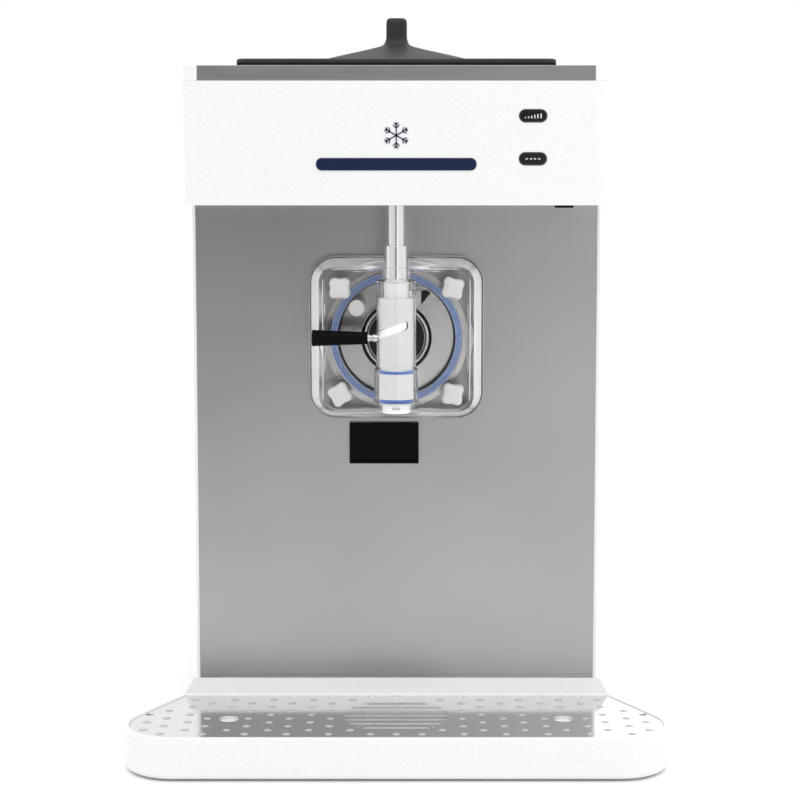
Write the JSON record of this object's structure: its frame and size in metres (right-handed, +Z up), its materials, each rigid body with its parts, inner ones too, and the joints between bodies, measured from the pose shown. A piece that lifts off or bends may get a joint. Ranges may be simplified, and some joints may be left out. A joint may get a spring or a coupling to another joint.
{
  "type": "countertop frozen drink machine",
  "caption": "Countertop frozen drink and ice cream machine with a clear door, lever draw valve, hopper with lid, and drip tray.",
  "frame": {"origin": "on the counter under the middle of the whole machine, tray and cable gland included", "axes": "+Z up, +X to the right of a user who faces the door, +Y to the back; the door and the draw valve face -Y"},
  "size_m": [0.5308, 0.67, 0.738],
  "materials": {
    "white_paint": "satin powder coat",
    "white_plastic": "smooth moulded plastic",
    "white_nylon": "moulded nylon",
    "acetal": "turned acetal",
    "charcoal_plastic": "fine moulded texture",
    "black_plastic": "fine moulded texture",
    "navy_plastic": "printed plate",
    "dark_window": "smoked window",
    "brushed_steel": "brushed",
    "deck_steel": "brushed lengthwise",
    "tray_steel": "fine brushed, nearly a mirror",
    "polished_steel": "polished",
    "bright_steel": "polished",
    "galvanised": "zinc coated",
    "aluminium": "machined",
    "grey_casting": "painted casting",
    "dark_paint": "black enamel",
    "copper": "drawn copper",
    "foam": "rigid foam",
    "rubber": "moulded rubber",
    "blue_seal": "silicone",
    "blue_ring": "silicone",
    "clear_plastic": "clear moulded polycarbonate",
    "circuit_board": "solder mask",
    "fan_plastic": "moulded plastic"
  },
  "bodies": {
    "cabinet": {"base_pan": "white_paint", "feet": "rubber", "chassis_frame": "galvanised", "drive_bulkhead": "galvanised", "front_panel": "brushed_steel", "corner_trims": "white_paint", "left_side_panel": "white_paint", "right_side_panel": "white_paint", "rear_panel": "white_paint", "top_deck": "deck_steel", "top_side_caps": "white_plastic", "panel_screws": "bright_steel", "control_head": "white_plastic", "name_plate": "navy_plastic", "indicator_lenses": "dark_window", "control_board": "circuit_board", "hopper": "brushed_steel", "level_probe": "black_plastic", "freezing_barrel": "polished_steel", "evaporator_jacket": "copper", "barrel_insulation": "foam", "drive_shaft_seal": "rubber", "gearbox": "grey_casting", "drive_belt": "rubber", "drive_motor": "dark_paint", "compressor": "dark_paint", "condenser": "aluminium", "fan_shroud": "dark_paint", "fan_motor": "dark_paint", "refrigerant_lines": "copper", "electrical_box": "galvanised", "cable_gland": "black_plastic", "door_studs": "bright_steel"},
    "door": {"door": "clear_plastic", "door_seal": "blue_seal", "front_bearing": "acetal", "spring_tube": "polished_steel", "return_spring": "bright_steel"},
    "valve_carrier": {"spring_sleeve": "polished_steel"},
    "valve": {"draw_valve": "acetal", "valve_o_rings": "blue_ring", "lever_arm": "bright_steel", "lever_grip": "black_plastic"},
    "nut_upper_left": {"hand_nut_upper_left": "white_nylon"},
    "nut_upper_right": {"hand_nut_upper_right": "white_nylon"},
    "nut_lower_left": {"hand_nut_lower_left": "white_nylon"},
    "nut_lower_right": {"hand_nut_lower_right": "white_nylon"},
    "bleed_plug": {"bleed_plug": "white_nylon"},
    "lid": {"hopper_lid": "charcoal_plastic"},
    "feed_regulator": {"feed_regulator": "white_nylon"},
    "tray": {"drip_tray": "white_plastic"},
    "tray_insert": {"tray_insert": "tray_steel"},
    "drawer": {"drip_drawer": "black_plastic"},
    "switch": {"power_switch": "black_plastic"},
    "beater": {"beater": "polished_steel", "beater_hub": "black_plastic", "scraper_blades": "acetal"},
    "gearbox_pulley": {"gearbox_pulley": "aluminium"},
    "motor_pulley": {"motor_pulley": "aluminium"},
    "fan": {"fan_blades": "fan_plastic"}
  },
  "joints": [
    {"name": "door_pull", "type": "slide", "parent": "cabinet", "child": "door", "axis": [0, -1, 0], "range_m": [0, 0.12]},
    {"name": "valve_lift", "type": "slide", "parent": "door", "child": "valve_carrier", "axis": [0, 0, 1], "range_m": [0, 0.014], "stiffness_N_per_m": 200, "springref_m": -0.01, "deforming": ["return_spring"]},
    {"name": "lever_swing", "type": "hinge", "parent": "valve_carrier", "child": "valve", "pos_m": [0, -0.246, 0.4173], "axis": [0, 0, 1], "range_deg": [0, 120]},
    {"name": "nut_upper_left_turn", "type": "hinge", "parent": "door", "child": "nut_upper_left", "pos_m": [-0.0555, -0.229, 0.465], "axis": [0, 1, 0], "continuous": true},
    {"name": "nut_upper_right_turn", "type": "hinge", "parent": "door", "child": "nut_upper_right", "pos_m": [0.0555, -0.229, 0.465], "axis": [0, 1, 0], "continuous": true},
    {"name": "nut_lower_left_turn", "type": "hinge", "parent": "door", "child": "nut_lower_left", "pos_m": [-0.0555, -0.229, 0.36], "axis": [0, 1, 0], "continuous": true},
    {"name": "nut_lower_right_turn", "type": "hinge", "parent": "door", "child": "nut_lower_right", "pos_m": [0.0555, -0.229, 0.36], "axis": [0, 1, 0], "continuous": true},
    {"name": "bleed_plug_pull", "type": "slide", "parent": "door", "child": "bleed_plug", "axis": [0, -1, 0], "range_m": [0, 0.01]},
    {"name": "lid_lift", "type": "slide", "parent": "cabinet", "child": "lid", "axis": [0, 0, 1], "range_m": [0, 0.2]},
    {"name": "regulator_turn", "type": "hinge", "parent": "cabinet", "child": "feed_regulator", "pos_m": [0, -0.06, 0.55], "axis": [0, 0, 1], "range_deg": [0, 90]},
    {"name": "tray_slide", "type": "slide", "parent": "cabinet", "child": "tray", "axis": [0, -1, 0], "range_m": [0, 0.16]},
    {"name": "insert_lift", "type": "slide", "parent": "tray", "child": "tray_insert", "axis": [0, 0, 1], "range_m": [0, 0.06]},
    {"name": "drawer_slide", "type": "slide", "parent": "cabinet", "child": "drawer", "axis": [0, -1, 0], "range_m": [0, 0.24]},
    {"name": "switch_rock", "type": "hinge", "parent": "cabinet", "child": "switch", "pos_m": [0.163, -0.238, 0.5515], "axis": [1, 0, 0], "range_deg": [-14, 0]},
    {"name": "beater_turn", "type": "hinge", "parent": "cabinet", "child": "beater", "pos_m": [0, 0, 0.4125], "axis": [0, 1, 0], "continuous": true},
    {"name": "gearbox_pulley_turn", "type": "hinge", "parent": "cabinet", "child": "gearbox_pulley", "pos_m": [0, 0.2, 0.4125], "axis": [0, 1, 0], "continuous": true},
    {"name": "motor_pulley_turn", "type": "hinge", "parent": "cabinet", "child": "motor_pulley", "pos_m": [0, 0.2, 0.27], "axis": [0, 1, 0], "continuous": true},
    {"name": "fan_turn", "type": "hinge", "parent": "cabinet", "child": "fan", "pos_m": [0.1, -0.01, 0.165], "axis": [1, 0, 0], "continuous": true}
  ],
  "couplings": [
    {"joint": "valve_lift", "follows": "lever_swing", "m_per_rad": 0.00668},
    {"joint": "gearbox_pulley_turn", "follows": "beater_turn", "ratio": 5},
    {"joint": "motor_pulley_turn", "follows": "beater_turn", "ratio": 12.5}
  ]
}
